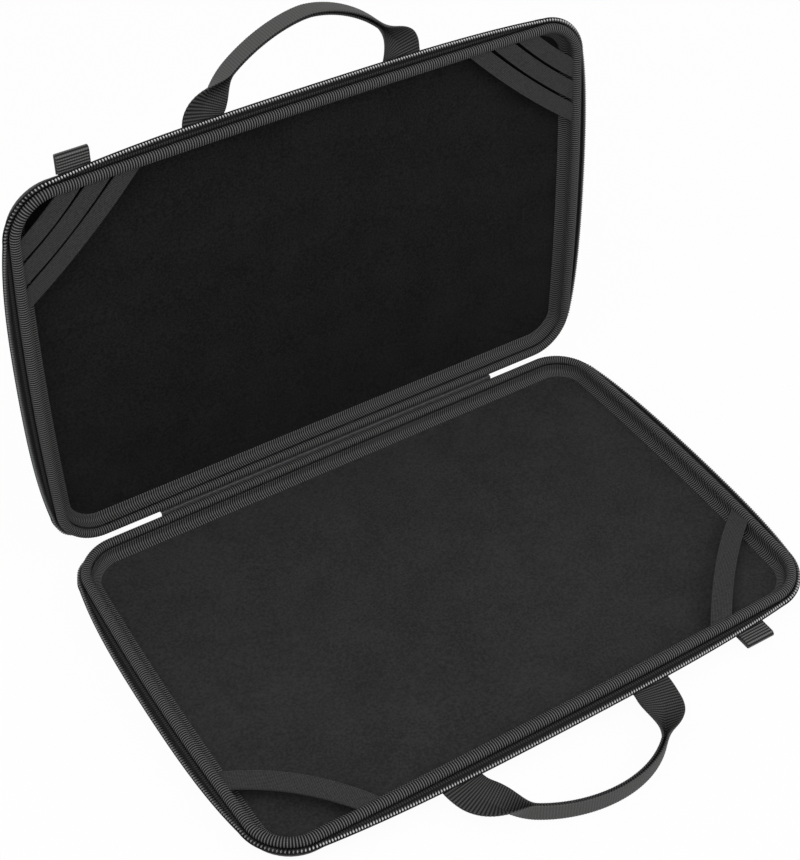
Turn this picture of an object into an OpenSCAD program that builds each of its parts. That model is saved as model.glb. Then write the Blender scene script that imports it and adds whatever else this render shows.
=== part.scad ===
// Laptop hard case: two moulded foam trays joined by a cloth spine and closed by a zip.
// The case stands open, base flat and lid upright. Millimetres, +Z up, the user at -Y.
// The origin is the middle of the base's underside.

/* [Case] */
// Width between the centrelines of the side bindings
case_w = 381; // [330:1:430]
// Depth between the centrelines of the front and back bindings
case_d = 256.5; // [220:1:300]
// Corner radius of the binding's centreline
corner_r = 25; // [20:1:36]
// Bulge of each side at its middle
side_bow = 4; // [0:0.5:8]
// Bulge of the front edge at its middle
front_bow = 2.5; // [0:0.5:6]
// Height of one half, from its outer face to the plane where the halves meet
half_t = 18.6; // [17:0.1:26]
// Angle of the lid, from closed
open_angle = 92.6; // [0:0.1:120]

/* [Shell] */
// Thickness of the outer cloth
cover_t = 1; // [0.6:0.1:1.5]
// Thickness of the foam in the walls
core_t = 4; // [3:0.1:5]
// Height of the inner floor above the outer face
floor_h = 8; // [6.5:0.1:9]
// Thickness of the lining
lining_t = 1.2; // [0.8:0.1:1.6]
// Distance of the outer wall outside the binding's centreline
wall_out = 4; // [3:0.1:5]
// Outer radius between wall and face
edge_r = 12; // [9:0.5:12]
// How far the back wall steps in, so that the spine cloth clears the hinge line
back_tuck = 1.6; // [1.2:0.1:2]

/* [Binding and zip] */
// Width of the binding's roll
bead_w = 6.3; // [5:0.1:6.6]
// Height of the binding's roll
bead_h = 5.6; // [4.6:0.1:5.8]
// Thickness of the zip tape
tape_t = 0.6; // [0.4:0.1:0.8]
// Reach of the zip teeth outside the binding's centreline, at the middle of a side
teeth_out = 8; // [6.5:0.1:10]
// Reach of the zip teeth at a corner, where the tape is drawn tight
teeth_tight = 4.9; // [4.8:0.1:5.6]
// Width of the row of teeth
teeth_w = 2.8; // [2:0.1:3.4]
// Height of the row of teeth
teeth_h = 1.6; // [1.2:0.1:2]
// Distance of the spine cloth's ends from the side bindings' centrelines
spine_in = 62.5; // [60.5:0.5:100]
// Length of tape between the spine cloth and the first tooth
tape_lead = 4; // [3.5:0.5:5]

/* [Straps] */
// Width of a base corner strap
strap_w = 13; // [8:0.5:16]
// Thickness of the elastic
strap_t = 1.2; // [0.8:0.1:1.6]
// Distance of a base strap's front end from the side binding's centreline
strap_from_side = 67; // [50:0.5:90]
// Distance of a base strap's side end from the front binding's centreline
strap_from_front = 62.75; // [45:0.25:78]
// Rise of a base strap at its middle
strap_rise = 4; // [0:0.1:4.2]
// Width of one lid corner strip
strip_w = 11; // [8:0.5:12]
// Gap between neighbouring lid strips
strip_gap = 0.8; // [0.4:0.1:3]
// Distance of the strips' outermost edge, at the lid's top, from the side binding's centreline
strip_from_side = 27; // [22.5:0.5:34.5]
// Angle of the strips, from the lid's top edge
strip_angle = 42; // [36:1:50]

/* [Handles and tabs] */
// Distance between the sewn ends of a handle
handle_span = 134; // [110:1:150]
// Reach of a handle from its sewn line
handle_reach = 55; // [42:1:70]
// Width of the webbing where it is sewn in
handle_end_w = 26; // [18:0.5:28]
// Width of the folded webbing at the grip
handle_grip_w = 14; // [10:0.5:15]
// Thickness of the webbing
web_t = 1.4; // [1:0.1:1.8]
// Middle of the base handle along the front edge
base_handle_x = -8.5; // [-12:0.5:12]
// Middle of the lid handle along the lid's top edge
lid_handle_x = -3.5; // [-12:0.5:12]
// How far the crown of the base handle's arch leans to the right
base_handle_lean = 7; // [-8:0.5:8]
// How far the crown of the lid handle's arch leans to the right
lid_handle_lean = 4; // [-8:0.5:8]
// Width of a pull tab
tab_w = 20; // [14:0.5:24]
// Reach of a pull tab outside the shell wall
tab_reach = 14; // [10:0.5:18]
// Distance of the base tab's middle from the right binding's centreline
base_tab_in = 52.5; // [48.5:0.5:62.5]
// Distance of the lid tab's middle from the left binding's centreline
lid_tab_in = 40.5; // [38.5:0.5:66.5]

/* [Zip sliders] */
// Length of a slider along the zip
slider_l = 10; // [8:0.5:12]
// Height of a slider across the zip
slider_w = 7; // [6:0.5:8]
// Length of a pull tag
pull_l = 24; // [16:1:32]
// Width of a pull tag
pull_w = 5.5; // [4:0.5:6]
// Thickness of a pull tag
pull_t = 1.4; // [1:0.1:1.8]
// Radius of the pin that a pull tag turns on
pin_r = 0.7; // [0.5:0.05:0.8]

/* [Hidden] */
$fn = 32;

glue = 0.05;             // glue line between bonded layers
stitch_gap = 0.15;       // gap between the tape and the row of teeth that is sewn on it
run_gap = 0.3;           // clearance between pieces that move past each other
half_w = case_w / 2;
half_d = case_d / 2;
core_x = half_w - corner_r;      // centres of the corner arcs
core_y = half_d - corner_r;
spine_half = half_w - spine_in;
zip_end = spine_half + tape_lead;

bead_z = half_t - run_gap / 2 - bead_h / 2;
wall_top = bead_z - bead_h / 2 - tape_t - glue;
tape_z = wall_top + (tape_t + glue) / 2;
back_wall = wall_out - back_tuck;
teeth_drop = 2.4;        // height of the teeth's row below the roll's centre, at mid run
tape_fall = 1.2;         // how much lower the tape's edge lies at mid run than at a corner
tape_hang = 7.5;         // length of tape folded down over the back wall
spine_leg = 15;          // how far the spine cloth reaches down a back wall from the hinge line
teeth_margin = 0.2;      // tape outside the row of teeth
knee_out = 0.45;         // distance from the roll's outer side to where the tape turns
tape_in = 1;             // distance from the roll's inner side to the tape's inner edge
hinge_y = half_d + max(back_wall + glue + tape_t + run_gap, bead_w / 2 + 4 * glue);
hinge_z = half_t;

corner_steps = 6;
side_steps = 6;
front_steps = 8;
arc_steps = 4;
bead_sides = 10;
handle_steps = 24;

cloth = "#2b2b2d";
foam = "#4a4a4c";
inner_cloth = "#232325";
roll_cloth = "#46464a";
webbing = "#4c4c4e";
metal = "#8d8f92";
coil_nylon = "#3c3c3e";

// ---- The outline ----
// A station is [x, y, nx, ny]: a point on the rectangle through the corner centres, and the
// outward direction there. They run from the middle of the back edge round by the left.

function turn(x, y, from) = [for (i = [0 : corner_steps])
    let (a = from + 90 * i / corner_steps) [x, y, cos(a), sin(a)]];
function between(steps) = [for (i = [1 : steps - 1]) 2 * i / steps - 1];

stations = concat(
    [for (x = [0, spine_half, zip_end]) [-x, core_y, 0, 1]],
    turn(-core_x, core_y, 90),
    [for (t = between(side_steps)) [-core_x, -core_y * t, -1, 0]],
    turn(-core_x, -core_y, 180),
    [for (t = between(front_steps)) [core_x * t, -core_y, 0, -1]],
    turn(core_x, -core_y, 270),
    [for (t = between(side_steps)) [core_x, core_y * t, 1, 0]],
    turn(core_x, core_y, 0),
    [for (x = [zip_end, spine_half]) [x, core_y, 0, 1]]);
tape_stations = [for (i = [1 : len(stations) - 1]) stations[i]];
teeth_stations = [for (i = [2 : len(stations) - 2]) stations[i]];

function front_bulge(x) = front_bow * (1 - pow(x / half_w, 2));
function side_bulge(y) = side_bow * (1 - pow(y / half_d, 2));
function spot(s, d, z) = let (x = s[0] + s[2] * (corner_r + d), y = s[1] + s[3] * (corner_r + d))
    [x + sign(x) * pow(abs(x) / half_w, 4) * side_bulge(y),
     y - (y < 0 ? pow(-y / half_d, 4) * front_bulge(x) : 0), z];

// 0 along the front and sides, 1 along the back edge, easing round the back corners
function back_share(s) = s[3] <= 0 ? 0 : s[3] * s[3] * (3 - 2 * s[3]);
// 1 at the middle of a side or of the front, 0 at the corners and the back
function mid_share(s) = s[3] == 0 ? 1 - pow(s[1] / core_y, 4) : s[3] == -1 ? 1 - pow(s[0] / core_x, 4) : 0;
function mix(a, b, t) = a + (b - a) * t;

// ---- Sweeps ----
// rows holds one list of points per station. A loop of rows closes on itself; a loop of
// points within a row is a closed section. Open rows get a flat end, and an open section is
// closed by a fan of faces round its first and its last ring. other_way splits each square
// along its other diagonal, for a piece that lies on its neighbour's twisted face.

function middle(list) = [for (k = [0 : 2]) [for (p = list) p[k]] * [for (p = list) 1] / len(list)];

module skin(rows, rows_loop, points_loop, other_way = false) {
    n = len(rows);
    m = len(rows[0]);
    polyhedron(
        points = concat([for (r = rows) for (p = r) p],
                        [for (j = [0, m - 1]) middle([for (r = rows) r[j]])]),
        faces = concat(
            [for (i = [0 : n - (rows_loop ? 1 : 2)]) for (j = [0 : m - (points_loop ? 1 : 2)])
                for (k = [0, 1]) let (a = i * m + j, b = i * m + (j + 1) % m,
                    c = ((i + 1) % n) * m + (j + 1) % m, d = ((i + 1) % n) * m + j)
                    other_way ? (k == 0 ? [a, b, d] : [b, c, d]) : (k == 0 ? [a, b, c] : [a, c, d])],
            rows_loop ? [] : [[for (j = [m - 1 : -1 : 0]) j], [for (j = [0 : m - 1]) (n - 1) * m + j]],
            points_loop ? [] : [for (i = [0 : n - 1]) let (a = i * m, b = ((i + 1) % n) * m) [a, b, n * m]],
            points_loop ? [] : [for (i = [0 : n - 1]) let (a = i * m + m - 1, b = ((i + 1) % n) * m + m - 1)
                [b, a, n * m + 1]]),
        convexity = 6);
}

// A quarter arc in a wall's section, from the wall down to the floor
function cove(wall, floor, r) = [for (i = [0 : arc_steps])
    let (a = 90 * i / arc_steps) [wall - r + r * cos(a), floor + r - r * sin(a)]];
function reversed(list) = [for (i = [len(list) - 1 : -1 : 0]) list[i]];

// A tray: inner wall and floor, outer wall and underside
module tray(inner, inner_floor, inner_r, outer, outer_floor, outer_r) {
    profile = concat(reversed(cove(inner, inner_floor, inner_r)), [[inner, wall_top], [outer, wall_top]],
                     cove(outer, outer_floor, outer_r));
    skin([for (s = stations) [for (p = profile) spot(s, p[0] - back_tuck * back_share(s), p[1])]],
         true, false);
}

// ---- The three layers of a half ----

lip = 0.2;               // straight height of a wall above its rounding
edge = min(edge_r, wall_top - lip);
cove_r = wall_top - lip - floor_h;
core_out = wall_out - cover_t - glue;
core_in = core_out - core_t;
lining_out = core_in - glue;
lining_in = lining_out - lining_t;

module cover() {
    inner_r = edge - cover_t;
    color(cloth) tray(wall_out - cover_t, cover_t, inner_r, wall_out, 0, edge);
}

module core() {
    color(foam) tray(core_in, floor_h - lining_t - glue, cove_r + lining_t + glue,
                     core_out, cover_t + glue, edge - cover_t - glue);
}

module lining() {
    color(inner_cloth) tray(lining_in, floor_h, cove_r, lining_out, floor_h - lining_t, cove_r + lining_t);
}

// ---- Binding, tape and teeth ----

module binding() {
    section = [for (i = [0 : bead_sides - 1]) let (a = -360 * i / bead_sides)
        [bead_w / 2 * cos(a), bead_z + bead_h / 2 * sin(a)]];
    color(roll_cloth) skin([for (s = stations) [for (p = section) spot(s, p[0], p[1])]], true, true);
}

// The tape's middle line at a station: under the roll, over the wall's edge, and its free edge,
// which stands out along the front and sides and is folded down over the back wall
function tape_line(s) = let (mid = mid_share(s), back = back_share(s),
        front_knee = bead_w / 2 + knee_out,
        knee = [mix(front_knee, back_wall + glue + tape_t / 2, back), tape_z],
        out = mix(teeth_tight, teeth_out, mid) + teeth_w / 2 + teeth_margin - front_knee,
        up = bead_z - teeth_drop - teeth_h / 2 - tape_t / 2 + tape_fall * (1 - mid) - tape_z,
        a = mix(atan2(up, out), -90, back))
    [[glue - bead_w / 2 + tape_in, tape_z], knee,
     knee + mix(norm([out, up]), tape_hang, back) * [cos(a), sin(a)]];
// The two edges of the row of teeth, on the tape's middle line
function teeth_line(s) = [for (back = [teeth_margin + teeth_w, teeth_margin])
    tape_line(s)[2] - back * tape_dir(s)];
function unit(v) = v / norm(v);
function tape_dir(s) = let (l = tape_line(s)) unit(l[2] - l[1]);
function left_of(v) = [-v[1], v[0]];

module zip_tape() {
    rows = [for (s = tape_stations)
        let (l = tape_line(s), n = left_of(tape_dir(s)), miter = (n + [0, 1]) / (1 + n[1]), h = tape_t / 2,
             row = teeth_line(s),
             loop = [l[0] + [0, h], l[1] + h * miter, row[0] + h * n, row[1] + h * n, l[2] + h * n,
                     l[2] - h * n, l[1] - h * miter, l[0] - [0, h]])
        [for (p = loop) spot(s, p[0], p[1])]];
    color(cloth) skin(rows, false, true);
}

module zip_teeth() {
    rows = [for (s = teeth_stations)
        let (n = left_of(tape_dir(s)), row = teeth_line(s), low = tape_t / 2 + stitch_gap,
             corners = [[0, low + teeth_h], [1, low + teeth_h], [1, low], [0, low]],
             loop = [for (j = corners) row[j[0]] + j[1] * n])
        [for (p = loop) spot(s, p[0], p[1])]];
    color(coil_nylon) skin(rows, false, true, other_way = true);
}

// ---- Elastic straps ----

// All that lies inside the roll, as a prism
module inside_roll() {
    linear_extrude(2 * half_t)
        polygon([for (s = stations) let (p = spot(s, -bead_w / 2 - glue, 0)) [p[0], p[1]]]);
}

// A band that bows up between two points over the tray
module bowed_band(from, to) {
    run = norm(to - from);
    line = [for (i = [0 : 8]) let (t = i / 8) [run * t, bead_z + strap_rise * 4 * t * (1 - t)]];
    translate([from[0], from[1], 0]) rotate(atan2(to[1] - from[1], to[0] - from[0])) rotate([90, 0, 0])
        linear_extrude(strap_w, center = true)
            polygon(concat([for (p = line) p - [0, strap_t / 2]],
                           [for (p = reversed(line)) p + [0, strap_t / 2]]));
}

module base_strap(side) {
    color(webbing) intersection() {
        bowed_band([side * (half_w - strap_from_side), -half_d],
                   [side * (half_w + side_bow / 2), strap_from_front - half_d]);
        inside_roll();
    }
}

// One of three strips across a front corner, counted from the corner inwards
module corner_strip(side, place) {
    color(webbing) intersection() {
        mirror([side < 0 ? 1 : 0, 0, 0])
            translate([half_w - strip_from_side, -half_d, bead_z - strap_t / 2]) rotate(strip_angle)
                translate([-half_d / 2, (place - 1) * (strip_w + strip_gap), 0])
                    cube([half_w, strip_w, strap_t]);
        inside_roll();
    }
}

// ---- Webbing ----

tape_under = bead_z - teeth_drop - teeth_h / 2 - tape_t - run_gap;   // free height under the tape
web_z = tape_under - web_t / 2;
loop_gap = 2;            // space between the two layers of a tab
sewn_l = 1;              // length of a tab where they are sewn together

// A folded loop of webbing, sewn in under the tape
module tab(x) {
    loop_h = 2 * web_t + loop_gap;
    root = -(half_d + front_bulge(x) + wall_out + glue);
    color(webbing) translate([x, root, tape_under - loop_h / 2]) rotate([90, 0, -90])
        linear_extrude(tab_w, center = true) difference() {
            union() {
                translate([0, -loop_h / 2]) square([tab_reach - loop_h / 2, loop_h]);
                translate([tab_reach - loop_h / 2, 0]) circle(loop_h / 2);
            }
            translate([sewn_l, -loop_gap / 2]) square([tab_reach - loop_h / 2 - sewn_l, loop_gap]);
            translate([tab_reach - loop_h / 2, 0]) circle(loop_gap / 2);
        }
}

handle_sag = 1.5;        // how much lower the grip lies than the sewn ends
flat_to = 12;            // angle along the arch, from its nearer end, up to which the webbing lies flat
folded_from = 48;        // angle from which it is folded on edge
handle_root = half_d + front_bulge((handle_span - handle_end_w) / 2) + wall_out + run_gap / 2 + web_t / 2;

// Ring of a handle at angle a along its arch. The webbing lies flat where it is sewn and turns
// on edge, folded narrower, over the first part of each arm.
function handle_ring(x, lean, a) = let (
        mid = [x - handle_span / 2 * cos(a) + lean * pow(sin(a), 2), -handle_root - handle_reach * sin(a),
               web_z - handle_sag * sin(a)],
        along = unit([handle_span / 2 * sin(a) + lean * sin(2 * a), -handle_reach * cos(a), 0]),
        outward = [along[1], -along[0], 0],
        lie = min(1, max(0, (folded_from - 90 + abs(90 - a)) / (folded_from - flat_to))),
        across = sin(90 * lie) * outward + cos(90 * lie) * [0, 0, 1],
        through = cross(across, along),
        w = mix(handle_grip_w, handle_end_w, lie) / 2)
    [mid + w * across + web_t / 2 * through, mid + w * across - web_t / 2 * through,
     mid - w * across - web_t / 2 * through, mid - w * across + web_t / 2 * through];

module handle(x, lean) {
    rings = [for (i = [0 : handle_steps]) handle_ring(x, lean, 180 * i / handle_steps)];
    color(webbing) skin(rings, false, true);
}

// ---- Zip sliders, parked at the ends of the base's teeth ----

coil_z = tape_z - tape_hang + teeth_w / 2 + teeth_margin;             // middle of the folded teeth
tape_face = half_d + back_wall + glue + tape_t;                       // outer face of the folded tape
plate_y = tape_face + stitch_gap + teeth_h + run_gap;                 // inner face of the slider's plate
plate_t = 1.2;           // thickness of that plate
stop_t = 1.8;            // how far a stop stands off the tape
eye_r = 1.6;             // outer radius of a pull tag's eye
eye_h = 3;               // length of the eye along its pin
neck_l = 2.6;            // distance from the pin to where the tag widens
lug_t = 1;               // thickness of each of the two lugs that hold the pin
lug_r = 1.2;             // outer radius of a lug
lug_root = 0.4;          // depth of a lug's foot in the plate
pin_in_lug = 0.7;        // how far the pin reaches into each lug
pin_play = 0.1;          // clearance between pin and eye
pin_y = plate_y + plate_t + eye_r + run_gap;
slider_x = zip_end + slider_l / 2 + run_gap;

module zip_stop(side) {
    color(metal) translate([side * (zip_end - tape_lead / 2), tape_face + glue + stop_t / 2, coil_z])
        cube([tape_lead - 4 * run_gap, stop_t, teeth_w + 4 * run_gap], center = true);
}

module slider(side) {
    color(metal) translate([side * slider_x, 0, coil_z]) {
        difference() {
            translate([-slider_l / 2, tape_face + run_gap, -slider_w / 2])
                cube([slider_l, plate_y + plate_t - tape_face - run_gap, slider_w]);
            translate([-slider_l, tape_face, -teeth_w / 2 - run_gap])
                cube([2 * slider_l, plate_y - tape_face, teeth_w + 2 * run_gap]);
        }
        for (up = [-1, 1]) translate([0, 0, up * (eye_h / 2 + run_gap + lug_t / 2) - lug_t / 2]) {
            translate([-lug_r, plate_y + plate_t - lug_root, 0])
                cube([2 * lug_r, pin_y - plate_y - plate_t + lug_root, lug_t]);
            translate([0, pin_y, 0]) cylinder(h = lug_t, r = lug_r);
        }
        translate([0, pin_y, 0]) cylinder(h = eye_h + 2 * (run_gap + pin_in_lug), r = pin_r, center = true);
    }
}

// The tag lies against the back wall and points to the middle of the case
module pull(side) {
    color(metal) translate([side * slider_x, pin_y, coil_z]) mirror([side > 0 ? 1 : 0, 0, 0])
        difference() {
            union() {
                translate([0, 0, -eye_h / 2]) cylinder(h = eye_h, r = eye_r);
                translate([0, -pull_t / 2, -eye_h / 2]) cube([pull_l / 2, pull_t, eye_h]);
                translate([neck_l, -pull_t / 2, -pull_w / 2])
                    cube([pull_l - neck_l - pull_w / 2, pull_t, pull_w]);
                translate([pull_l - pull_w / 2, pull_t / 2, 0]) rotate([90, 0, 0])
                    cylinder(h = pull_t, r = pull_w / 2);
            }
            translate([0, 0, -eye_h]) cylinder(h = 2 * eye_h, r = pin_r + pin_play);
        }
}

// ---- The lid is the base's mirror image, closed down on it and then swung open ----

module on_lid() {
    translate([0, hinge_y, hinge_z]) rotate([-open_angle, 0, 0]) mirror([0, 0, 1])
        translate([0, -hinge_y, -hinge_z]) children();
}

// The spine cloth's section in (y, z) from the hinge line: up the base's back wall, out round the
// roll to the plane that halves the angle between the back walls, and the same down the lid
module spine_cloth() {
    wall = half_d + back_wall + glue - hinge_y;
    roll = half_d + bead_w / 2 + 2 * glue - hinge_y;
    outer = roll + tape_t;
    fold = -open_angle / 2;
    inside = [[roll, roll * tan(fold)], [roll, wall_top - hinge_z + tape_t], [wall, wall_top - hinge_z],
              [wall, -spine_leg]];
    outside = [[outer, -spine_leg], [outer, outer * tan(fold)]];
    color(cloth) translate([0, hinge_y, hinge_z]) rotate([90, 0, 90])
        linear_extrude(2 * (spine_half - run_gap), center = true)
            polygon(concat(inside, outside,
                [for (p = [outside[0], inside[3], inside[2], inside[1]])
                    [p[0] * cos(2 * fold) + p[1] * sin(2 * fold),
                     p[0] * sin(2 * fold) - p[1] * cos(2 * fold)]]));
}

cover();  // base_cover
core();  // base_core
lining();  // base_lining
binding();  // base_binding
zip_tape();  // base_zip_tape
zip_teeth();  // base_zip_teeth
base_strap(-1);  // base_strap_left
base_strap(1);  // base_strap_right
tab(half_w - base_tab_in);  // base_tab
handle(base_handle_x, base_handle_lean);  // base_handle
spine_cloth();
zip_stop(-1);  // zip_stop_left
zip_stop(1);  // zip_stop_right
slider(-1);  // slider_left
slider(1);  // slider_right
pull(-1);  // pull_left
pull(1);  // pull_right
on_lid() cover();  // lid_cover
on_lid() core();  // lid_core
on_lid() lining();  // lid_lining
on_lid() binding();  // lid_binding
on_lid() zip_tape();  // lid_zip_tape
on_lid() zip_teeth();  // lid_zip_teeth
on_lid() corner_strip(-1, 1);  // lid_strip_left_1
on_lid() corner_strip(-1, 2);  // lid_strip_left_2
on_lid() corner_strip(-1, 3);  // lid_strip_left_3
on_lid() corner_strip(1, 1);  // lid_strip_right_1
on_lid() corner_strip(1, 2);  // lid_strip_right_2
on_lid() corner_strip(1, 3);  // lid_strip_right_3
on_lid() tab(lid_tab_in - half_w);  // lid_tab
on_lid() handle(lid_handle_x, lid_handle_lean);  // lid_handle
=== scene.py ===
"""An open laptop hard case: two moulded trays on a cloth spine, with zip, straps and handles."""

import logging
import math
from collections.abc import Iterator
from contextlib import contextmanager
from dataclasses import dataclass
from enum import Enum

import bmesh
import bpy
import numpy as np
from mathutils import Euler, Matrix, Vector


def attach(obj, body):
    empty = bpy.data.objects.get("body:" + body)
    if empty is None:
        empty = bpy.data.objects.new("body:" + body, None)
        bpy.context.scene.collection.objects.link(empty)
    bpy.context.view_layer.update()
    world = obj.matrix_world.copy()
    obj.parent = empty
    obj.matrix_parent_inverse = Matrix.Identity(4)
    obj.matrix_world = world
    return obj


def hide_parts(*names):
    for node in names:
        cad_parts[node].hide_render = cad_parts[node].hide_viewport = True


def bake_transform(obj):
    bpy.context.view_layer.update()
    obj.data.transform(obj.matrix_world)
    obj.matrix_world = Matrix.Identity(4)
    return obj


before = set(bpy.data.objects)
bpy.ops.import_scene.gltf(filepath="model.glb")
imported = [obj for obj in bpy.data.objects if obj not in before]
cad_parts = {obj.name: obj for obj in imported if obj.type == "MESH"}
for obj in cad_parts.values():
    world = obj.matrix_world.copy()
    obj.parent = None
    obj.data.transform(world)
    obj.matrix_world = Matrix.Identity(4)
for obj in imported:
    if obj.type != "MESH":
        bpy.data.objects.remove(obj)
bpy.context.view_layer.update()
LOG = logging.getLogger("laptop_case")
MM = 0.001  # sizes below are in millimetres, and Blender's are in metres
Value = np.ndarray | float  # one number, or one for each station


class Half(Enum):
    """The two halves of the case, by the CAD body that each rides on."""

    BASE = "base"
    LID = "lid"


class Side(Enum):
    """Left or right, as the user sees the open case."""

    LEFT = -1
    RIGHT = 1


def mix(a: Value, b: Value, share: Value) -> Value:
    """The value between a and b at that share."""
    return a + (b - a) * share


def smooth_step(value: Value, low: float, high: float) -> Value:
    """Eases from 0 at low to 1 at high."""
    share = np.clip((value - low) / (high - low), 0.0, 1.0)
    return share * share * (3 - 2 * share)


def rib(along: np.ndarray, pitch: float) -> np.ndarray:
    """The height of woven ribs, from 0 in their narrow grooves to 1 on their round tops."""
    return np.abs(np.sin(math.pi * along / pitch)) ** 0.7


# ---- Sizes that the pieces share ----


@dataclass(frozen=True)
class CaseSizes:
    """Driving sizes of the case, in millimetres, as the construction has them."""

    half_w: float = 190.5
    half_d: float = 128.25
    half_t: float = 18.6
    corner_r: float = 25.0
    side_bow: float = 4.0
    front_bow: float = 2.5
    open_angle: float = 92.6
    wall_out: float = 4.0
    wall_top: float = 12.2
    edge_r: float = 12.0
    floor_h: float = 8.0
    back_tuck: float = 1.6
    bead_w: float = 6.3
    bead_h: float = 5.6
    bead_z: float = 15.65
    tape_t: float = 0.6
    tape_z: float = 12.525
    tape_hang: float = 7.5
    teeth_out: float = 8.0
    teeth_tight: float = 4.9
    teeth_w: float = 2.8
    teeth_h: float = 1.6
    spine_half: float = 128.0
    zip_end: float = 132.0
    web_t: float = 1.4
    web_z: float = 10.85
    hinge_y: float = 131.6
    lining_in: float = -2.3
    cove_below: float = 0.2

    @property
    def cove_r(self) -> float:
        """Radius of the lining's cove, which starts a little below the wall's top."""
        return self.wall_top - self.cove_below - self.floor_h

    def front_bulge(self, x: Value) -> Value:
        """How far the front edge is bowed out at a distance from its middle."""
        return self.front_bow * (1 - (x / self.half_w) ** 2)

    def lid_matrix(self) -> Matrix:
        """Works out the lid's place. The lid is the base's mirror image, swung open.

        Returns:
            The matrix that takes a point of the base to the lid, in metres.
        """
        hinge = Vector((0.0, self.hinge_y, self.half_t)) * MM
        swing = Matrix.Rotation(math.radians(-self.open_angle), 4, "X")
        mirror = Matrix.Scale(-1.0, 4, (0.0, 0.0, 1.0))
        return Matrix.Translation(hinge) @ swing @ mirror @ Matrix.Translation(-hinge)


SIZES = CaseSizes()


class Rim:
    """The centreline of a half's binding from above, with ways to step along it and off it."""

    def __init__(self, sizes: CaseSizes) -> None:
        """Works out the straight runs and corners.

        Args:
            sizes: The case's sizes.
        """
        self.sizes = sizes
        self.core_x = sizes.half_w - sizes.corner_r
        self.core_y = sizes.half_d - sizes.corner_r
        quarter = math.pi / 2 * sizes.corner_r
        x, y = self.core_x, self.core_y
        self.legs = [  # length, first core point, first direction in degrees, is it a corner
            (x, (0, y), 90, False), (quarter, (-x, y), 90, True),
            (2 * y, (-x, y), 180, False), (quarter, (-x, -y), 180, True),
            (2 * x, (-x, -y), 270, False), (quarter, (x, -y), 270, True),
            (2 * y, (x, -y), 360, False), (quarter, (x, y), 360, True),
            (x, (x, y), 450, False),
        ]
        self.length = sum(leg[0] for leg in self.legs)

    def stations(self, along: np.ndarray) -> np.ndarray:
        """Finds the core point and outward direction at each distance.

        Args:
            along: Distances along the centreline from the middle of the back edge, by the left.

        Returns:
            One row [x, y, nx, ny] for each distance.
        """
        found = []
        for distance in along:
            rest = distance
            for length, (x, y), start, corner in self.legs:
                if rest <= length + 1e-6:
                    break
                rest -= length
            angle = math.radians(start + (90 * rest / length if corner else 0))
            nx, ny = math.cos(angle), math.sin(angle)
            step = 0.0 if corner else rest
            found.append((x - ny * step, y + nx * step, nx, ny))
        return np.array(found)

    def spots(self, stations: np.ndarray, out: Value, height: Value) -> np.ndarray:
        """Places points off the centreline and bows the sides.

        Args:
            stations: Rows from stations().
            out: Distance outside the centreline.
            height: Height above the outer face.

        Returns:
            One point for each station, in millimetres.
        """
        size = self.sizes
        x = stations[:, 0] + stations[:, 2] * (size.corner_r + out)
        y = stations[:, 1] + stations[:, 3] * (size.corner_r + out)
        side = size.side_bow * (1 - (y / size.half_d) ** 2)
        front = size.front_bulge(x)
        bowed_x = x + np.sign(x) * (np.abs(x) / size.half_w) ** 4 * side
        bowed_y = y - np.where(y < 0, (np.abs(y) / size.half_d) ** 4 * front, 0.0)
        return np.stack([bowed_x, bowed_y, np.broadcast_to(height, x.shape)], axis=1)

    def back_share(self, stations: np.ndarray) -> np.ndarray:
        """1 along the back edge and 0 along the front and sides, easing round the back corners."""
        return smooth_step(stations[:, 3], 0.0, 1.0)

    def mid_share(self, stations: np.ndarray) -> np.ndarray:
        """Measures how near a station is to the middle of its edge.

        Args:
            stations: Rows from stations().

        Returns:
            1 at the middle of a side or of the front, 0 at the corners and along the back.
        """
        on_side = np.abs(stations[:, 3]) < 1e-6
        on_front = stations[:, 3] < -1 + 1e-6
        side = 1 - (stations[:, 1] / self.core_y) ** 4
        front = 1 - (stations[:, 0] / self.core_x) ** 4
        return np.where(on_side, side, np.where(on_front, front, 0.0))


RIM = Rim(SIZES)
# Ribs are 1.4 mm apart in such tapes. They are drawn coarser, so that they show.
RIB_PITCH = RIM.length / round(RIM.length / 1.6)  # of the binding, so that a whole number fits
WEB_PITCH = 1.7  # of the handles' webbing
TAB_PITCH = 1.9  # of the coarser webbing of the tabs
FACE_SHIFT = 100.0  # from 0 to the middle of a band's upper face in its map; its lower is at minus


# ---- Modelling steps ----


def deselect() -> None:
    """Leaves nothing selected, in object mode."""
    if bpy.context.object and bpy.context.object.mode != "OBJECT":
        bpy.ops.object.mode_set(mode="OBJECT")
    bpy.ops.object.select_all(action="DESELECT")


def activate(piece: bpy.types.Object) -> None:
    """Selects one piece alone and makes it the active one.

    Args:
        piece: The piece.
    """
    deselect()
    piece.select_set(True)
    bpy.context.view_layer.objects.active = piece


@contextmanager
def editing(piece: bpy.types.Object) -> Iterator[None]:
    """Opens a piece in edit mode with all of it selected, and closes it again.

    Args:
        piece: The piece.

    Yields:
        Once, while the piece is open.
    """
    activate(piece)
    bpy.ops.object.mode_set(mode="EDIT")
    bpy.ops.mesh.select_all(action="SELECT")
    yield
    bpy.ops.object.mode_set(mode="OBJECT")


def place_mesh(data: bpy.types.Mesh) -> bpy.types.Object:
    """Puts a mesh in the scene as a piece of the same name.

    Args:
        data: The mesh.

    Returns:
        The piece.
    """
    piece = bpy.data.objects.new(data.name, data)
    bpy.context.scene.collection.objects.link(piece)
    return piece


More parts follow.
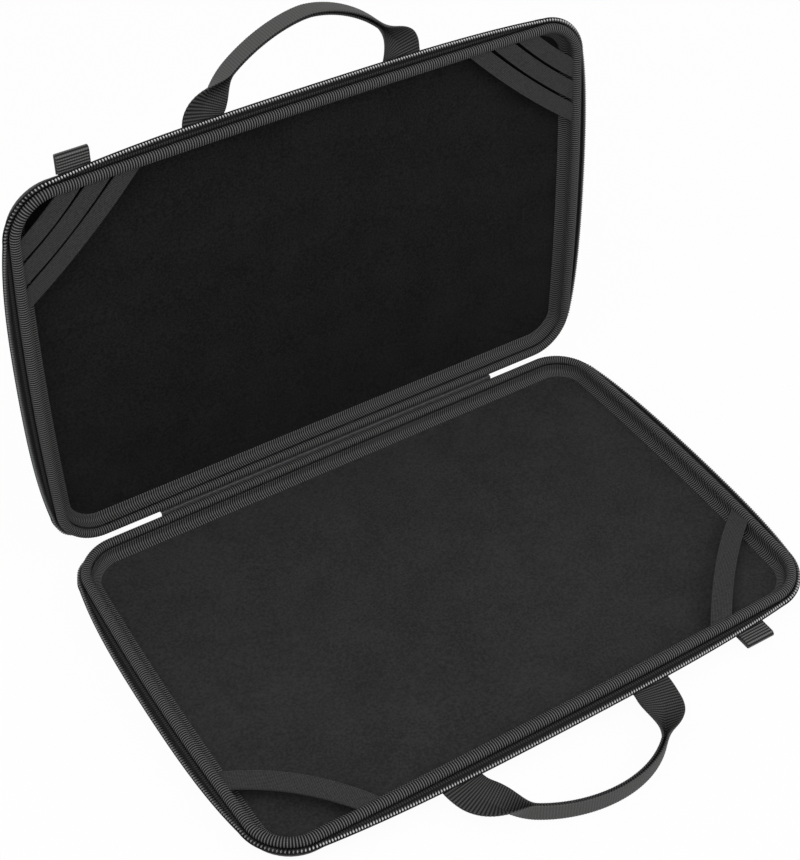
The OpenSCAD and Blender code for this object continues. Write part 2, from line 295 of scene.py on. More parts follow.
def loft(name: str, rows: np.ndarray, uv: np.ndarray, closed: bool = False, capped: bool = False,
         upward: bool | None = None) -> bpy.types.Object:
    """Draws a chain of points and extrudes it on through row after row.

    Args:
        name: The piece's name.
        rows: Points in millimetres, as row, place in the chain, and x y z. A last row equal to the
            first makes a closed section.
        uv: Millimetres along and across the cloth, as row, place and u v, with one place more
            than rows where the chain is closed.
        closed: Whether the chain's last point joins its first.
        capped: Whether the ends are filled.
        upward: For an open surface, whether its faces look up. None for a closed one.

    Returns:
        The piece.
    """
    count = rows.shape[1]
    deselect()
    bpy.ops.mesh.primitive_circle_add(vertices=count, radius=1.0, calc_uvs=False)
    piece = bpy.context.object
    piece.name = piece.data.name = name
    with editing(piece):
        mesh = bmesh.from_edit_mesh(piece.data)
        place = mesh.verts.layers.int.new("place")
        mesh.verts.layers.int.new("row")
        mesh.verts.ensure_lookup_table()
        for i, vert in enumerate(mesh.verts):
            vert[place] = i
            vert.co = rows[0, i] * MM
        if not closed:
            mesh.edges.remove(mesh.edges.get((mesh.verts[0], mesh.verts[count - 1])))
        bmesh.update_edit_mesh(piece.data)
        for r in range(1, rows.shape[0]):
            bpy.ops.mesh.extrude_edges_indiv()
            mesh = bmesh.from_edit_mesh(piece.data)
            place, row = mesh.verts.layers.int["place"], mesh.verts.layers.int["row"]
            mesh.verts.ensure_lookup_table()
            for vert in mesh.verts[r * count:(r + 1) * count]:
                vert[row] = r
                vert.co = rows[r, vert[place]] * MM
            bmesh.update_edit_mesh(piece.data)
    lay_uv(piece, uv, count, closed)
    close_up(piece, capped, upward)
    return piece


def lay_uv(piece: bpy.types.Object, uv: np.ndarray, count: int, closed: bool) -> None:
    """Gives a lofted piece its map, in millimetres, and drops the marks that the loft left.

    Args:
        piece: The piece.
        uv: As in loft().
        count: The number of points in the chain.
        closed: Whether the chain is closed.
    """
    data = piece.data
    marks = {}
    for key in ("place", "row"):
        values = np.zeros(len(data.vertices), np.int32)
        data.attributes[key].data.foreach_get("value", values)
        marks[key] = values
    corner = np.zeros(len(data.loops), np.int32)
    data.loops.foreach_get("vertex_index", corner)
    place, row = marks["place"][corner].reshape(-1, 4), marks["row"][corner].reshape(-1, 4)
    if closed:
        seam = (place.max(axis=1) - place.min(axis=1) > count // 2)[:, None]
        place = np.where(seam & (place == 0), count, place)
    layer = data.uv_layers.new(name="UVMap")
    layer.data.foreach_set("uv", uv[row.ravel(), place.ravel()].astype(np.float32).ravel())
    for key in ("place", "row"):
        data.attributes.remove(data.attributes[key])


def close_up(piece: bpy.types.Object, capped: bool, upward: bool | None) -> None:
    """Merges what coincides, fills the ends and turns the faces the right way.

    Args:
        piece: The piece.
        capped: Whether holes are filled.
        upward: As in loft().
    """
    with editing(piece):
        bpy.ops.mesh.remove_doubles(threshold=1e-7)
        if capped:
            bpy.ops.mesh.fill_holes(sides=0)
        bpy.ops.mesh.normals_make_consistent(inside=False)
    if upward is not None:
        sum_z = sum(face.normal.z * face.area for face in piece.data.polygons)
        if (sum_z > 0) != upward:
            flip(piece)
    bpy.ops.object.shade_smooth_by_angle(angle=math.radians(50))


def flip(piece: bpy.types.Object) -> None:
    """Turns every face of a piece over."""
    with editing(piece):
        bpy.ops.mesh.flip_normals()


def thicken(piece: bpy.types.Object, thickness: float) -> None:
    """Gives an open surface its thickness, away from the side that its faces look to.

    Args:
        piece: The piece.
        thickness: In millimetres.
    """
    activate(piece)
    wall = piece.modifiers.new("wall", "SOLIDIFY")
    wall.thickness = thickness * MM
    wall.offset = -1.0
    bpy.ops.object.modifier_apply(modifier=wall.name)


def join(pieces: list[bpy.types.Object], name: str) -> bpy.types.Object:
    """Joins pieces into the first of them.

    Args:
        pieces: The pieces.
        name: The joined piece's name.

    Returns:
        The joined piece.
    """
    activate(pieces[0])
    for piece in pieces[1:]:
        piece.select_set(True)
    bpy.ops.object.join()
    pieces[0].name = pieces[0].data.name = name
    return pieces[0]


def trim(piece: bpy.types.Object, point: Vector, normal: Vector) -> None:
    """Cuts off what a plane through the point, in millimetres, has in front, and closes the cut."""
    with editing(piece):
        bpy.ops.mesh.bisect(plane_co=point * MM, plane_no=normal, use_fill=True, clear_outer=True)


def along_path(points: np.ndarray) -> tuple[np.ndarray, np.ndarray]:
    """Measures a path.

    Args:
        points: Its points.

    Returns:
        The unit tangent and the distance from the start, at each point.
    """
    steps = np.gradient(points, axis=0)
    tangents = steps / np.linalg.norm(steps, axis=1, keepdims=True)
    pieces = np.linalg.norm(np.diff(points, axis=0), axis=1)
    return tangents, np.concatenate([[0.0], np.cumsum(pieces)])


def spaced(points: np.ndarray, step: float) -> np.ndarray:
    """Redraws a path with its points evenly spaced.

    Args:
        points: The path.
        step: How far apart they come, as near as a whole number of steps allows.

    Returns:
        The new points.
    """
    _, distance = along_path(points)
    wanted = np.linspace(0.0, distance[-1], max(2, round(distance[-1] / step) + 1))
    return np.stack([np.interp(wanted, distance, points[:, k]) for k in range(3)], axis=1)


@dataclass(frozen=True)
class Weave:
    """How a band is woven: its thickness and the ribs across it, in millimetres.

    Its lip is how far its selvedges stand up, and its edge is how thick its sides are, as a share.
    """

    thickness: float
    pitch: float = WEB_PITCH
    height: float = 0.18
    lip: float = 0.0
    edge: float = 0.45
    points_per_rib: int = 4

    def spaced(self, points: np.ndarray) -> np.ndarray:
        """Redraws a path with so many points to each rib."""
        return spaced(points, self.pitch / self.points_per_rib)


def band(name: str, path: np.ndarray, across: np.ndarray, width: float, weave: Weave,
         fold: np.ndarray | None = None, skew: float = 0.0) -> bpy.types.Object:
    """Models a woven band along a path, flat or folded together lengthwise.

    Args:
        name: The piece's name.
        path: The middle of the band, one point per step.
        across: The direction of the band's width, at each point or at all of them.
        width: The flat width.
        weave: The band's weave.
        fold: The angle through which each point's section is folded, from 0 to pi.
        skew: How far the fold lies off the middle of the band.

    Returns:
        The piece.
    """
    tangents, distance = along_path(path)
    normal = np.cross(np.broadcast_to(across, tangents.shape), tangents)
    normal /= np.linalg.norm(normal, axis=1, keepdims=True)
    side = np.cross(tangents, normal)
    flat = 1e-4  # the least fold, so that nothing divides by zero
    fold = np.full(len(path), flat) if fold is None else np.maximum(fold, flat)
    bend_r = weave.thickness * 0.62
    selvedge = 0.97
    lanes = np.array([-1, -selvedge, -0.8, -0.5, -0.2, -0.1, 0, 0.1, 0.2, 0.5, 0.8, selvedge, 1])
    rows, uv = [], []
    for face, order in ((1, lanes), (-1, lanes[::-1])):
        for lane in order:
            run = lane * width / 2 + skew * fold / math.pi
            bend = np.minimum(bend_r * fold, width * 0.9) / 2
            angle = np.clip(run, -bend, bend) / bend * fold / 2
            flank = np.sign(run) * np.maximum(np.abs(run) - bend, 0)
            radius = 2 * bend / fold
            sideways = radius * np.sin(angle) + flank * np.cos(angle)
            upwards = radius * (1 - np.cos(angle)) + np.abs(flank) * np.abs(np.sin(angle))
            thick = weave.thickness / 2 * (weave.edge if abs(lane) == 1 else 1)
            thick = thick - weave.height * (1 - rib(distance, weave.pitch))
            thick = thick + (weave.lip if abs(lane) in (selvedge, 1) else 0)
            sideways = sideways - face * np.sin(angle) * thick
            upwards = upwards + face * np.cos(angle) * thick
            rows.append(path + side * sideways[:, None] + normal * upwards[:, None])
            height = lane * width / 2 + face * FACE_SHIFT
            uv.append(np.stack([distance, np.full(len(path), height)], axis=1))
    rows.append(rows[0])
    uv.append(uv[0])
    return loft(name, np.array(rows), np.array(uv), capped=True)


# ---- The halves ----


@dataclass
class TrayCloth:
    """The outer cloth and the lining of one half."""

    half: Half
    cover_t: float = 1.0
    lining_t: float = 1.2
    station_step: float = 3.0
    cove_steps: int = 9
    face_rings: int = 22
    crown: float = 0.0
    pucker: float = 0.35
    pucker_rings: float = 2.5
    swell: float = 0.22

    def wall(self, out: float, floor: float, radius: float) -> tuple[list, np.ndarray, np.ndarray]:
        """Works out a tray's wall and the cove that leads to its flat face.

        Args:
            out: The wall's distance outside the binding's centreline.
            floor: The face's height.
            radius: The cove's radius.

        Returns:
            Pairs of distance out and height, the distances along the rim, and the stations.
        """
        along = np.linspace(0, RIM.length, round(RIM.length / self.station_step), endpoint=False)
        stations = RIM.stations(along)
        angles = np.linspace(0, math.pi / 2, self.cove_steps)
        profile = [(out, SIZES.wall_top), (out, mix(SIZES.wall_top, floor + radius, 0.5))]
        profile += [(out + radius * (math.cos(angle) - 1), floor + radius * (1 - math.sin(angle)))
                    for angle in angles]
        return profile, along, stations

    def face(self, edge: np.ndarray, height: float) -> list[np.ndarray]:
        """Draws rings that shrink from the face's edge to its middle.

        Args:
            edge: The edge's points.
            height: The face's height.

        Returns:
            The rings.
        """
        rings = []
        for share in np.linspace(1, 0, self.face_rings)[1:]:
            ring = edge.copy()
            ring[:, :2] *= share
            ring[:, 2] = height
            rings.append(ring)
        return rings

    def cover(self) -> bpy.types.Object:
        """Models the outer cloth.

        Returns:
            The cover, as the base has it.
        """
        profile, _, stations = self.wall(SIZES.wall_out, 0.0, SIZES.edge_r)
        tuck = SIZES.back_tuck * RIM.back_share(stations)
        rows = [RIM.spots(stations, out - tuck, height) for out, height in profile]
        face = self.face(rows[-1], 0.0)
        for ring in face:
            across_share = 1 - np.clip(np.abs(ring[:, 0]) / SIZES.half_w, 0, 1) ** 2
            depth_share = 1 - np.clip(np.abs(ring[:, 1]) / SIZES.half_d, 0, 1) ** 2
            ring[:, 2] -= self.crown * across_share * depth_share
        uv = self.pulled_uv(rows, face, stations)
        piece = loft(f"{self.half.value}_shell_cloth", np.array(rows + face), uv,
                     closed=True, upward=False)
        thicken(piece, self.cover_t)
        return piece

    def pulled_uv(self, rows: list[np.ndarray], face: list[np.ndarray],
                  stations: np.ndarray) -> np.ndarray:
        """Maps cloth that is pulled over a tray: flat on its face and straight down over its walls.

        Args:
            rows: The rows of the wall and cove, the last at the face's edge.
            face: The rings of the face.
            stations: Rows from Rim.stations().

        Returns:
            The map.
        """
        uv = [None] * len(rows)
        uv[-1] = rows[-1][:, :2]
        for r in range(len(rows) - 2, -1, -1):
            step = np.linalg.norm(rows[r] - rows[r + 1], axis=1, keepdims=True)
            uv[r] = uv[r + 1] + stations[:, 2:4] * step
        uv += [ring[:, :2] for ring in face]
        flat = np.array(uv)
        return np.concatenate([flat, flat[:, :1]], axis=1)

    def lining(self) -> bpy.types.Object:
        """Models the lining, with the soft puckers that run round the tray's wall.

        Returns:
            The lining, as the base has it.
        """
        profile, along, stations = self.wall(SIZES.lining_in, SIZES.floor_h, SIZES.cove_r)
        tuck = SIZES.back_tuck * RIM.back_share(stations)
        # Two uneven waves, about 25 and 46 mm long.
        wave = np.sin(along / 3.9 + 1.4 * np.sin(along / 17.0)) + 0.6 * np.sin(along / 7.3 + 2.0)
        rows = []
        for out, height in profile:
            low = smooth_step(SIZES.wall_top - height, 0.5, 3.5)
            rows.append(RIM.spots(stations, out - tuck - self.pucker * wave * low, height))
        face = self.face(rows[-1], SIZES.floor_h)
        for r, ring in enumerate(face):
            x, y = ring[:, 0], ring[:, 1]
            near_wall = math.exp(-r / self.pucker_rings) if r < len(face) - 1 else 0.0
            across_swell = np.sin(x / 31 + 0.8 * np.sin(y / 43))
            swell = self.swell * across_swell * np.cos(y / 27 + 0.5 * np.sin(x / 37))
            ring[:, 2] += swell + self.pucker * 0.8 * (wave + 0.6) * near_wall
        rows.append(face[0])
        uv = self.pulled_uv(rows[:-1], face, stations)
        piece = loft(f"{self.half.value}_lining_cloth", np.array(rows + face[1:]), uv,
                     closed=True, upward=True)
        thicken(piece, self.lining_t)
        return piece


@dataclass
class Binding:
    """The ribbed tape that is folded over a half's rim and rolled round its raw edges."""

    half: Half
    rib_height: float = 0.3
    roll_sides: int = 14
    points_per_rib: int = 4
    seam_sides: int = 8
    seam_half: tuple[float, float] = (1.0, 0.45)
    seam_out: tuple[float, float] = (4.0, 1.6)
    seam_sunk: float = 0.1
    seam_shift: float = 0.5
    inner_t: float = 0.9
    inner_gap: float = 0.15
    inner_on_floor: float = 2.2
    inner_steps: int = 5
    inner_shift: float = 0.35
    inner_map_step: float = 1.8
    riser: tuple[float, float] = (-3.35, 15.0)
    riser_under: tuple[float, float] = (-2.7, 14.8)

    def start(self) -> tuple[np.ndarray, np.ndarray]:
        """Spaces stations along the rim, so many to each rib.

        Returns:
            The distances along the rim and the stations there.
        """
        ribs = round(RIM.length / RIB_PITCH)
        along = np.linspace(0, RIM.length, ribs * self.points_per_rib, endpoint=False)
        return along, RIM.stations(along)

    def swept(self, name: str, section: list[tuple], shift: float) -> bpy.types.Object:
        """Sweeps a closed section round the rim.

        Args:
            name: The piece's name.
            section: Each point's distance outside the binding's centreline, height, and distance
                round the section, each a value or one for each station.
            shift: How far its ribs lie along the rim from the roll's, in ribs.

        Returns:
            The swept piece.
        """
        along, stations = self.start()
        rows = [RIM.spots(stations, out, height) for out, height, _ in section]
        rows.append(rows[0])
        turns = [turn for _, _, turn in section] + [section[-1][2] + 1.0]
        run = np.append(along, RIM.length) + shift * RIB_PITCH
        uv = [np.stack([run, np.full(len(run), turn)], axis=1) for turn in turns]
        return loft(name, np.array(rows), np.array(uv), closed=True)

    def ridge(self, shift: float) -> np.ndarray:
        """How far the surface lies below the ribs' tops, at each station."""
        along, _ = self.start()
        return -self.rib_height * (1 - rib(along + shift * RIB_PITCH, RIB_PITCH))

    def roll(self, name: str, middle: tuple, halves: tuple[float, float], sides: int,
             shift: float) -> bpy.types.Object:
        """Models one ribbed roll all round the rim.

        Args:
            name: The roll's name.
            middle: Its middle, as distance outside the binding's centreline and height.
            halves: Half its width and half its height.
            sides: The number of faces round it.
            shift: As in swept().

        Returns:
            The roll.
        """
        section = []
        ridge = self.ridge(shift) * min(1.0, halves[1] / 2)
        for j in range(sides):
            angle = -2 * math.pi * j / sides
            section.append((middle[0] + (halves[0] + ridge) * math.cos(angle),
                            middle[1] + (halves[1] + ridge) * math.sin(angle),
                            math.pi * (halves[0] + halves[1]) * j / sides))
        return self.swept(name, section, shift)

    def inner_flap(self) -> bpy.types.Object:
        """Models the flap that lies down the lining's cove and a little way out over its floor.

        Returns:
            The flap.
        """
        _, stations = self.start()
        tuck = SIZES.back_tuck * RIM.back_share(stations)
        centre = (SIZES.lining_in - SIZES.cove_r, SIZES.floor_h + SIZES.cove_r)
        lift = self.ridge(self.inner_shift) * 0.7
        top = [(lift * 0.4 + self.riser[0] - tuck, self.riser[1])]
        under = [(self.riser_under[0] - tuck, self.riser_under[1])]
        under_r = SIZES.cove_r - self.inner_gap
        for angle in np.radians(np.linspace(-10, 90, self.inner_steps)):
            for found, radius in ((top, under_r - self.inner_t - lift), (under, under_r)):
                found.append((centre[0] + radius * math.cos(angle) - tuck,
                              centre[1] - radius * math.sin(angle)))
        edge = centre[0] - self.inner_on_floor - lift * 1.6 - tuck
        floor = SIZES.floor_h + self.inner_gap
        top.append((edge + 0.5, floor + self.inner_t + lift))
        under.append((edge, floor + 0.3 * self.inner_t))
        section = [(*point, self.inner_map_step * j) for j, point in enumerate(top + under[::-1])]
        return self.swept("inner", section, self.inner_shift)

    def build(self) -> bpy.types.Object:
        """Models the main roll and the flap that lies inside it.

        Returns:
            The binding, as the base has it.
        """
        halves = (SIZES.bead_w / 2, SIZES.bead_h / 2)
        main = self.roll("roll", (0.0, SIZES.bead_z), halves, self.roll_sides, 0.0)
        return join([main, self.inner_flap()], f"{self.half.value}_binding_roll")

    def seam(self) -> bpy.types.Object:
        """Models the narrow welt that is sewn down on the zip tape, outside the roll.

        Returns:
            The welt, as the base has it.
        """
        _, stations = self.start()
        out = mix(*self.seam_out, RIM.back_share(stations))
        height = SIZES.tape_z + SIZES.tape_t / 2 + self.seam_half[1] - self.seam_sunk
        return self.roll(f"{self.half.value}_seam_welt", (out, height), self.seam_half,
                         self.seam_sides, self.seam_shift)


@dataclass
class Zip:
    """One half of the zip: its tape and its row of coil teeth."""

    half: Half
    tooth_pitch: float = 1.8
    tooth_l: float = 0.95
    tooth_lean: float = 10.0
    blunt: float = 0.6
    stitch_gap: float = 0.1
    margin: float = 0.2
    overhang: float = 0.25
    tape_step: float = 1.2
    root_out: float = -1.0
    knee_gap: float = 0.45
    wall_gap: float = 0.05
    below_bead: float = 2.4
    corner_lift: float = 1.2
    # How far the painted glint on the teeth turns towards the right, and the least of it away from
    # the front.
    glint_turn: float = 0.35
    glint_least: float = 0.25

    def line(self, stations: np.ndarray) -> tuple[np.ndarray, np.ndarray, np.ndarray]:
        """Works out the tape's section at each station.

        Args:
            stations: Rows from Rim.stations().

        Returns:
            The knee where the tape turns, the direction of its free part as [out, up], and the
            length of that part.
        """
        mid = RIM.mid_share(stations)
        turned = np.arcsin(np.clip(stations[:, 3], 0.0, 1.0))
        back = smooth_step(turned, 0.0, math.pi / 2)
        front_knee = SIZES.bead_w / 2 + self.knee_gap
        back_knee = SIZES.wall_out - SIZES.back_tuck + self.wall_gap + SIZES.tape_t / 2
        teeth = mix(SIZES.teeth_tight, SIZES.teeth_out, mid)
        out = teeth + SIZES.teeth_w / 2 + self.margin - front_knee
        level = SIZES.bead_z - self.below_bead - SIZES.teeth_h / 2 - SIZES.tape_t / 2
        up = level + self.corner_lift * (1 - mid) - SIZES.tape_z
        free = np.stack([out * (1 - back), mix(up, -SIZES.tape_hang, back)], axis=1)
        knee_out = mix(front_knee, back_knee, back)
        knee = np.stack([knee_out, np.full(len(stations), SIZES.tape_z)], axis=1)
        length = np.linalg.norm(free, axis=1)
        return knee, free / length[:, None], length

    def tape(self) -> bpy.types.Object:
        """Models the tape, from under the binding to its woven edge.

        Returns:
            The tape, as the base has it.
        """
        start, end = SIZES.spine_half, RIM.length - SIZES.spine_half
        along = np.linspace(start, end, round((RIM.length - 2 * start) / self.tape_step))
        stations = RIM.stations(along)
        knee, direction, length = self.line(stations)
        normal = np.stack([-direction[:, 1], direction[:, 0]], axis=1)
        h = SIZES.tape_t / 2
        root = np.stack([np.full(len(along), self.root_out), knee[:, 1]], axis=1)
        up = np.array([0.0, 1.0])
        bend = (normal + up) / (1 + normal[:, 1:2])
        tip = knee + direction * (length[:, None] - self.overhang)
        mid = (knee + tip) / 2
        loop = [root + h * up, knee + h * bend, mid + h * normal, tip + h * normal,
                tip - h * normal, mid - h * normal, knee - h * bend, root - h * up]
        loop.append(loop[0])
        across = [0, 4, 6, 8, 8.6, 10.6, 12.6, 16.6, 17.2]
        rows = [RIM.spots(stations, point[:, 0], point[:, 1]) for point in loop]
        uv = [np.stack([along, np.full(len(along), value)], axis=1) for value in across]
        return loft(f"{self.half.value}_tape_cloth", np.array(rows), np.array(uv), capped=True)

    def teeth(self) -> bpy.types.Object:
        """Models one turn of the nylon coil and repeats it along the tape.

        Returns:
            The row of teeth, as the base has it.
        """
        deselect()
        bpy.ops.mesh.primitive_uv_sphere_add(segments=8, ring_count=6, radius=1.0)
        turn = bpy.context.object
        for vert in turn.data.vertices:
            vert.co = [math.copysign(abs(value) ** self.blunt, value) for value in vert.co]
        turn.scale = (self.tooth_l / 2, SIZES.teeth_w / 2, SIZES.teeth_h / 2)
        turn.rotation_euler.z = math.radians(self.tooth_lean)
        bpy.ops.object.transform_apply(location=False, rotation=True, scale=True)
        shape = np.array([v.co for v in turn.data.vertices])
        faces = [list(face.vertices) for face in turn.data.polygons]
        bpy.data.objects.remove(turn)
        start = SIZES.zip_end + self.tooth_pitch / 2
        count = round((RIM.length - 2 * start) / self.tooth_pitch) + 1
        along = np.linspace(start, RIM.length - start, count)
        stations = RIM.stations(along)
        knee, direction, length = self.line(stations)
        normal = np.stack([-direction[:, 1], direction[:, 0]], axis=1)
        reach = (length - self.margin - SIZES.teeth_w / 2)[:, None]
        rise = SIZES.tape_t / 2 + self.stitch_gap + SIZES.teeth_h / 2
        middle = knee + direction * reach + normal * rise
        centre = RIM.spots(stations, middle[:, 0], middle[:, 1])
        tangent, _ = along_path(centre)
        outward = np.column_stack([stations[:, 2:4] * direction[:, :1], direction[:, 1]])
        above = np.cross(tangent, outward)
        verts = (centre[:, None] + shape[None, :, :1] * tangent[:, None]
                 + shape[None, :, 1:2] * outward[:, None]
                 + shape[None, :, 2:] * above[:, None]).reshape(-1, 3)
        every = [[v + len(shape) * i for v in face] for i in range(count) for face in faces]
        data = bpy.data.meshes.new(f"{self.half.value}_coil")
        data.from_pydata((verts * MM).tolist(), [], every)
        # Painted glint: the outer heads of the teeth take the pale colour where the rim faces the
        # front and a little to the right, towards the light, and a small share of it elsewhere.
        shine = data.attributes.new("shine", "FLOAT", "POINT")
        heads = smooth_step(shape[:, 1] / SIZES.teeth_w, -0.1, 0.45)
        facing = smooth_step(self.glint_turn * stations[:, 2] - stations[:, 3], 0.7, 1.0)
        glint = np.outer(mix(self.glint_least, 1.0, facing), heads)
        shine.data.foreach_set("value", glint.ravel())
        piece = place_mesh(data)
        close_up(piece, False, None)
        return piece


@dataclass
class Handle:
    """A carrying handle of webbing, folded together lengthwise where the hand holds it.

    Its fold starts and ends at so many degrees of its arch. A straight above 1 draws the arch's
    arms straighter than an ellipse's.
    """

    half: Half
    middle: float
    lean: float
    span: float = 134.0
    reach: float = 55.0
    width: float = 26.0
    grip_low: float = 3.4
    fold_from: float = 12.0
    fold_to: float = 48.0
    fold_skew: float = 1.1
    full_fold: float = 0.97 * math.pi
    straight: float = 1.0
    straight_from: float = 0.6
    root_gap: float = 0.85
    path_steps: int = 721
    weave: Weave = Weave(thickness=1.5)

    def build(self) -> bpy.types.Object:
        """Models the handle.

        Returns:
            The handle, as the base has it.
        """
        bulge = SIZES.front_bulge((self.span - self.width) / 2)
        root = SIZES.half_d + bulge + SIZES.wall_out + self.root_gap
        turn = np.radians(np.linspace(0, 180, self.path_steps))
        folded = smooth_step(90 - np.abs(90 - np.degrees(turn)), self.fold_from, self.fold_to)
        sine, cosine = np.clip(np.sin(turn), 0.0, 1.0), np.cos(turn)
        power = mix(1.0, self.straight, smooth_step(sine, 0.0, self.straight_from))
        beside = np.sign(cosine) * np.abs(cosine) ** power
        path = np.stack([self.middle - self.span / 2 * beside + self.lean * sine ** 2,
                         -root - self.reach * sine ** power,
                         mix(SIZES.web_z, self.grip_low, folded)], axis=1)
        even = self.weave.spaced(path)
        tangents, distance = along_path(even)
        share = np.interp(distance, along_path(path)[1], folded)
        across = np.cross(tangents, (0.0, 0.0, 1.0))
        return band(f"{self.half.value}_handle_web", even, across, self.width, self.weave,
                    share * self.full_fold, self.fold_skew)


@dataclass
class Tab:
    """A loop of webbing to hold on to while the zip is pulled."""

    half: Half
    middle: float
    width: float = 20.0
    reach: float = 14.0
    loop_gap: float = 2.0
    root_gap: float = 0.1
    straight_steps: int = 8
    turn_steps: int = 13
    weave: Weave = Weave(thickness=1.35, pitch=TAB_PITCH, height=0.25)

    def build(self) -> bpy.types.Object:
        """Models the loop.

        Returns:
            The tab, as the base has it.
        """
        root = SIZES.half_d + SIZES.front_bulge(self.middle) + SIZES.wall_out + self.root_gap
        top = SIZES.web_z + SIZES.web_t / 2 - self.weave.thickness / 2
        gap = self.weave.thickness + self.loop_gap
        turn = np.radians(np.linspace(90, -90, self.turn_steps))
        end = self.reach - gap / 2 - self.weave.thickness / 2
        leg = np.linspace(0, end, self.straight_steps)[:-1]
        out = np.concatenate([leg, end + gap / 2 * np.cos(turn),
                              np.linspace(end, 0, self.straight_steps)[1:]])
        height = np.concatenate([np.full(len(leg), top), top - gap / 2 + gap / 2 * np.sin(turn),
                                 np.full(len(leg), top - gap)])
        path = np.stack([np.full(len(out), self.middle), -root - out, height], axis=1)
        across = np.array((-1.0, 0.0, 0.0))
        return band(f"{self.half.value}_tab_web", self.weave.spaced(path), across, self.width,
                    self.weave)


def elastic(name: str, points: np.ndarray, across: np.ndarray, width: float, weave: Weave,
            ends: tuple[float, float]) -> bpy.types.Object:
    """Models a flat elastic band and trims its two ends inside the binding.

    Args:
        name: The band's name.
        points: Its middle, which runs on past the binding at both ends.
        across: The direction of its width.
        width: Its width.
        weave: How it is woven.
        ends: Where it is cut, as the y of the front cut and the x of the side cut.

    Returns:
        The band.
    """
    piece = band(name, weave.spaced(points), across, width, weave)
    front, beside = ends
    trim(piece, Vector((0, front, 0)), Vector((0, -1, 0)))
    trim(piece, Vector((beside, 0, 0)), Vector((math.copysign(1, beside), 0, 0)))
    return piece


@dataclass
class CornerStrap:
    """The elastic band over a front corner of the base."""

    side: Side
    width: float = 13.0
    rise: float = 4.0
    bend: float = 3.5
    front_x: float = 123.5
    side_y: float = 65.5
    past: float = 0.12
    sunk: float = 0.2
    tuck_in: float = 1.2
    steps: int = 60
    weave: Weave = Weave(thickness=1.1, pitch=3.0, height=0.03, lip=0.1)

    def build(self) -> bpy.types.Object:
        """Models the strap and trims its ends inside the binding.

        Returns:
            The strap.
        """
        sign = self.side.value
        start = Vector((sign * self.front_x, -SIZES.half_d, 0))
        end = Vector((sign * (SIZES.half_w + SIZES.side_bow / 2), -self.side_y, 0))
        run = (end - start).normalized()
        share = np.linspace(-self.past, 1 + self.past, self.steps)
        bow = np.clip(4 * share * (1 - share), -0.2, 1)
        points = np.array([start + (end - start) * s for s in share])
        points += np.outer(bow, (-sign * abs(run.y), abs(run.x), 0.0)) * self.bend
        points[:, 2] = SIZES.bead_z + self.rise * bow - self.sunk
        ends = (-SIZES.half_d - SIZES.front_bow * 0.55 + self.tuck_in,
                sign * (SIZES.half_w + SIZES.side_bow * 0.7 - self.tuck_in))
        return elastic(f"base_strap_{self.side.name.lower()}_elastic", points,
                       np.array((-run.y, run.x, 0.0)), self.width, self.weave, ends)


@dataclass
class CornerStrips:
    """The three elastic strips side by side over a top corner of the lid."""

    side: Side
    width: float = 11.0
    step: float = 12.0
    from_corner: float = 27.0
    angle: float = 42.0
    bend: float = 2.0
    rise: float = 0.5
    overlap: float = 0.4
    past: float = 8.0
    tuck_in: float = 1.2
    steps: int = 80
    weave: Weave = Weave(thickness=1.1, pitch=3.0, height=0.03, lip=0.12)

    def build(self, place: int) -> bpy.types.Object:
        """Models one strip.

        Args:
            place: 1 for the strip next to the corner, to 3.

        Returns:
            The strip, as the base would have it.
        """
        sign = self.side.value
        angle = math.radians(self.angle)
        run = np.array([sign * math.cos(angle), math.sin(angle), 0.0])
        inward = np.array([-sign * math.sin(angle), math.cos(angle), 0.0])
        corner = np.array([sign * (SIZES.half_w - self.from_corner), -SIZES.half_d, SIZES.bead_z])
        in_from = (place - 0.5) * self.step - self.overlap
        first = -in_from / math.tan(angle)
        last = (self.from_corner + in_from * math.sin(angle)) / math.cos(angle)
        share = np.linspace(first - self.past, last + self.past, self.steps)
        middle_share = 1 - ((share - (first + last) / 2) / ((last - first) / 2)) ** 2
        sag = middle_share * self.bend * (last - first) / 100
        points = corner + inward * (in_from + sag[:, None]) + run * share[:, None]
        points[:, 2] += self.rise * middle_share
        ends = (-SIZES.half_d + self.tuck_in,
                sign * (SIZES.half_w + SIZES.side_bow * 0.4 - self.tuck_in))
        return elastic(f"lid_strip_{self.side.name.lower()}_{place}_elastic", points, inward,
                       self.width, self.weave, ends)


